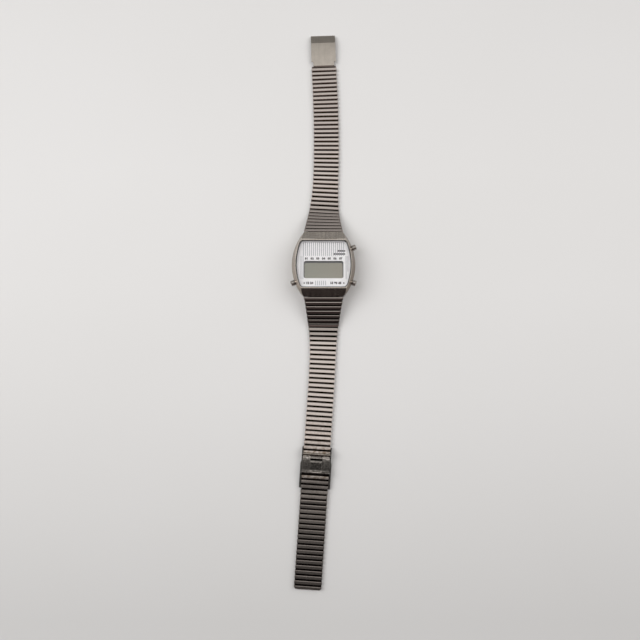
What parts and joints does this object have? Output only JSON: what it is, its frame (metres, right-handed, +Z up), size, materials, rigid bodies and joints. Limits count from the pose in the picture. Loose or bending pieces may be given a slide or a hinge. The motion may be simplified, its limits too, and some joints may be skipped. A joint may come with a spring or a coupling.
{
  "type": "digital wristwatch",
  "caption": "Slim digital wristwatch with a bowed steel case, side pushers and a folded-link steel band, laid out open with its sliding clasp apart.",
  "frame": {"origin": "on the table under the middle of the case, in the plane of the case back", "axes": "+X to 3 o'clock, +Y to 12 o'clock along the band, +Z up out of the display"},
  "size_m": [0.0256, 0.2167, 0.0095],
  "materials": {
    "case_steel": "brushed",
    "crystal_glass": "polished",
    "black_rubber": "moulded",
    "dial_print": "printed with fine stripes",
    "display_glass": "grey-green behind a polariser",
    "module_plastic": "moulded",
    "board_green": "solder mask",
    "chip_resin": "cast",
    "bright_steel": "bright",
    "spring_brass": "satin",
    "back_steel": "circular brushing",
    "pusher_steel": "polished",
    "spring_steel": "drawn",
    "band_steel": "brushed across the links",
    "hook_steel": "brushed along its length",
    "clasp_steel": "pressed",
    "pin_steel": "turned"
  },
  "bodies": {
    "head": {"case": "case_steel", "crystal": "crystal_glass", "crystal_gasket": "black_rubber", "dial": "dial_print", "lcd_panel": "display_glass", "module_frame": "module_plastic", "connector_strips": "black_rubber", "circuit_board": "board_green", "chip_cover": "chip_resin", "quartz_can": "bright_steel", "trimmer": "spring_brass", "battery": "bright_steel", "battery_clip": "spring_brass", "piezo_disc": "spring_brass", "piezo_spring": "spring_brass", "case_back": "back_steel", "back_gasket": "black_rubber", "module_screws": "bright_steel", "pusher_seals": "black_rubber", "upper_pusher_spring": "spring_steel", "lower_pusher_spring": "spring_steel", "left_pusher_spring": "spring_steel", "spring_bar_12": "spring_steel", "spring_bar_6": "spring_steel", "bar_spring_12": "spring_steel", "bar_spring_6": "spring_steel"},
    "upper_pusher": {"upper_pusher": "pusher_steel", "upper_pusher_clip": "spring_steel"},
    "lower_pusher": {"lower_pusher": "pusher_steel", "lower_pusher_clip": "spring_steel"},
    "left_pusher": {"left_pusher": "pusher_steel", "left_pusher_clip": "spring_steel"},
    "tip_12_left": {"tip_12_left": "spring_steel"},
    "tip_12_right": {"tip_12_right": "spring_steel"},
    "tip_6_left": {"tip_6_left": "spring_steel"},
    "tip_6_right": {"tip_6_right": "spring_steel"},
    "upper_band_1": {"upper_links_1": "band_steel"},
    "upper_band_2": {"upper_links_2": "band_steel"},
    "upper_band_3": {"upper_links_3": "band_steel"},
    "upper_band_4": {"upper_links_4": "band_steel"},
    "upper_band_5": {"upper_links_5": "band_steel"},
    "upper_band_6": {"upper_links_6": "band_steel"},
    "upper_band_7": {"upper_links_7": "band_steel"},
    "hook": {"hook_plate": "hook_steel"},
    "lower_band_1": {"lower_links_1": "band_steel"},
    "lower_band_2": {"lower_links_2": "band_steel"},
    "lower_band_3": {"lower_links_3": "band_steel"},
    "lower_band_4": {"lower_links_4": "band_steel"},
    "lower_band_5": {"lower_links_5": "band_steel"},
    "lower_band_6": {"lower_links_6": "band_steel"},
    "lower_band_7": {"lower_links_7": "band_steel"},
    "clasp_seat": {"clasp_seat_links": "band_steel"},
    "tail_1": {"tail_links_1": "band_steel"},
    "tail_2": {"tail_links_2": "band_steel"},
    "tail_3": {"tail_links_3": "band_steel"},
    "clasp": {"clasp_body": "clasp_steel", "catch_bar": "pin_steel", "lever_pin": "pin_steel"},
    "lever": {"lock_lever": "clasp_steel"}
  },
  "joints": [
    {"name": "upper_pusher_press", "type": "slide", "parent": "head", "child": "upper_pusher", "axis": [-0.9135, -0.4067, 0], "range_m": [0, 0.0006], "stiffness_N_per_m": 300, "deforming": ["upper_pusher_spring"]},
    {"name": "lower_pusher_press", "type": "slide", "parent": "head", "child": "lower_pusher", "axis": [-0.9135, 0.4067, 0], "range_m": [0, 0.0006], "stiffness_N_per_m": 300, "deforming": ["lower_pusher_spring"]},
    {"name": "left_pusher_press", "type": "slide", "parent": "head", "child": "left_pusher", "axis": [0.9135, 0.4067, 0], "range_m": [0, 0.0006], "stiffness_N_per_m": 300, "deforming": ["left_pusher_spring"]},
    {"name": "tip_12_left_slide", "type": "slide", "parent": "head", "child": "tip_12_left", "axis": [1, 0, 0], "range_m": [0, 0.00085], "stiffness_N_per_m": 300, "deforming": ["bar_spring_12"]},
    {"name": "tip_12_right_slide", "type": "slide", "parent": "head", "child": "tip_12_right", "axis": [-1, 0, 0], "range_m": [0, 0.00085], "stiffness_N_per_m": 300},
    {"name": "tip_6_left_slide", "type": "slide", "parent": "head", "child": "tip_6_left", "axis": [1, 0, 0], "range_m": [0, 0.00085], "stiffness_N_per_m": 300, "deforming": ["bar_spring_6"]},
    {"name": "tip_6_right_slide", "type": "slide", "parent": "head", "child": "tip_6_right", "axis": [-1, 0, 0], "range_m": [0, 0.00085], "stiffness_N_per_m": 300},
    {"name": "upper_lug_hinge", "type": "hinge", "parent": "head", "child": "upper_band_1", "pos_m": [0, 0.01125, 0.006], "axis": [-1, 0, 0], "range_deg": [-6, 23]},
    {"name": "upper_hinge_2", "type": "hinge", "parent": "upper_band_1", "child": "upper_band_2", "pos_m": [0.00018, 0.02005, 0.0016], "axis": [-0.9989, 0.0477, 0], "range_deg": [-6, 23]},
    {"name": "upper_hinge_3", "type": "hinge", "parent": "upper_band_2", "child": "upper_band_3", "pos_m": [0.00072, 0.03045, 0.00049], "axis": [-0.9988, 0.0489, 0], "range_deg": [-10, 25.1]},
    {"name": "upper_hinge_4", "type": "hinge", "parent": "upper_band_3", "child": "upper_band_4", "pos_m": [0.00111, 0.04106, 0.00049], "axis": [-0.9998, 0.0198, 0], "range_deg": [-10, 25.8]},
    {"name": "upper_hinge_5", "type": "hinge", "parent": "upper_band_4", "child": "upper_band_5", "pos_m": [0.0012, 0.05168, 0.00049], "axis": [-1, -0.0046, 0], "range_deg": [-10, 25.9]},
    {"name": "upper_hinge_6", "type": "hinge", "parent": "upper_band_5", "child": "upper_band_6", "pos_m": [0.00106, 0.0623, 0.00049], "axis": [-0.9997, -0.0243, 0], "range_deg": [-10, 23.8]},
    {"name": "upper_hinge_7", "type": "hinge", "parent": "upper_band_6", "child": "upper_band_7", "pos_m": [0.00072, 0.07291, 0.00049], "axis": [-0.999, -0.044, 0], "range_deg": [-10, 21.1]},
    {"name": "hook_hinge", "type": "hinge", "parent": "upper_band_7", "child": "hook", "pos_m": [0.00024, 0.08352, 0.00049], "axis": [-0.9995, -0.0332, 0], "range_deg": [-10, 19.6]},
    {"name": "lower_lug_hinge", "type": "hinge", "parent": "head", "child": "lower_band_1", "pos_m": [0, -0.01125, 0.006], "axis": [1, 0, 0], "range_deg": [-6, 20]},
    {"name": "lower_hinge_2", "type": "hinge", "parent": "lower_band_1", "child": "lower_band_2", "pos_m": [-0.00001, -0.01871, 0.00269], "axis": [1, -0.0028, 0], "range_deg": [-10, 16.1]},
    {"name": "lower_hinge_3", "type": "hinge", "parent": "lower_band_2", "child": "lower_band_3", "pos_m": [-0.00006, -0.02533, 0.00049], "axis": [0.9998, -0.0184, 0], "range_deg": [-10, 16.9]},
    {"name": "lower_hinge_4", "type": "hinge", "parent": "lower_band_3", "child": "lower_band_4", "pos_m": [-0.00024, -0.03247, 0.00049], "axis": [0.9993, -0.0384, 0], "range_deg": [-10, 18.7]},
    {"name": "lower_hinge_5", "type": "hinge", "parent": "lower_band_4", "child": "lower_band_5", "pos_m": [-0.00055, -0.0396, 0.00049], "axis": [0.9987, -0.0502, 0], "range_deg": [-10, 21]},
    {"name": "lower_hinge_6", "type": "hinge", "parent": "lower_band_5", "child": "lower_band_6", "pos_m": [-0.00105, -0.04851, 0.00049], "axis": [0.9979, -0.0651, 0], "range_deg": [-10, 24.4]},
    {"name": "lower_hinge_7", "type": "hinge", "parent": "lower_band_6", "child": "lower_band_7", "pos_m": [-0.00165, -0.05741, 0.00049], "axis": [0.9977, -0.068, 0], "range_deg": [-10, 27]},
    {"name": "seat_hinge", "type": "hinge", "parent": "lower_band_7", "child": "clasp_seat", "pos_m": [-0.00226, -0.0663, 0.00086], "axis": [0.9977, -0.068, 0], "range_deg": [-10, 28.4]},
    {"name": "tail_hinge_1", "type": "hinge", "parent": "clasp_seat", "child": "tail_1", "pos_m": [-0.00371, -0.08767, 0.00086], "axis": [0.9977, -0.068, 0], "range_deg": [-10, 28.3]},
    {"name": "tail_hinge_2", "type": "hinge", "parent": "tail_1", "child": "tail_2", "pos_m": [-0.00444, -0.09834, 0.00049], "axis": [0.9977, -0.068, 0], "range_deg": [-10, 28]},
    {"name": "tail_hinge_3", "type": "hinge", "parent": "tail_2", "child": "tail_3", "pos_m": [-0.00517, -0.10902, 0.00049], "axis": [0.9977, -0.068, 0], "range_deg": [-10, 23.9]},
    {"name": "clasp_slide", "type": "slide", "parent": "clasp_seat", "child": "clasp", "axis": [-0.068, -0.9977, 0], "range_m": [-0.0025, 0.003]},
    {"name": "lock_lever_hinge", "type": "hinge", "parent": "clasp", "child": "lever", "pos_m": [-0.00303, -0.07762, 0.00245], "axis": [-0.9977, 0.068, 0], "range_deg": [-110, 0]}
  ]
}
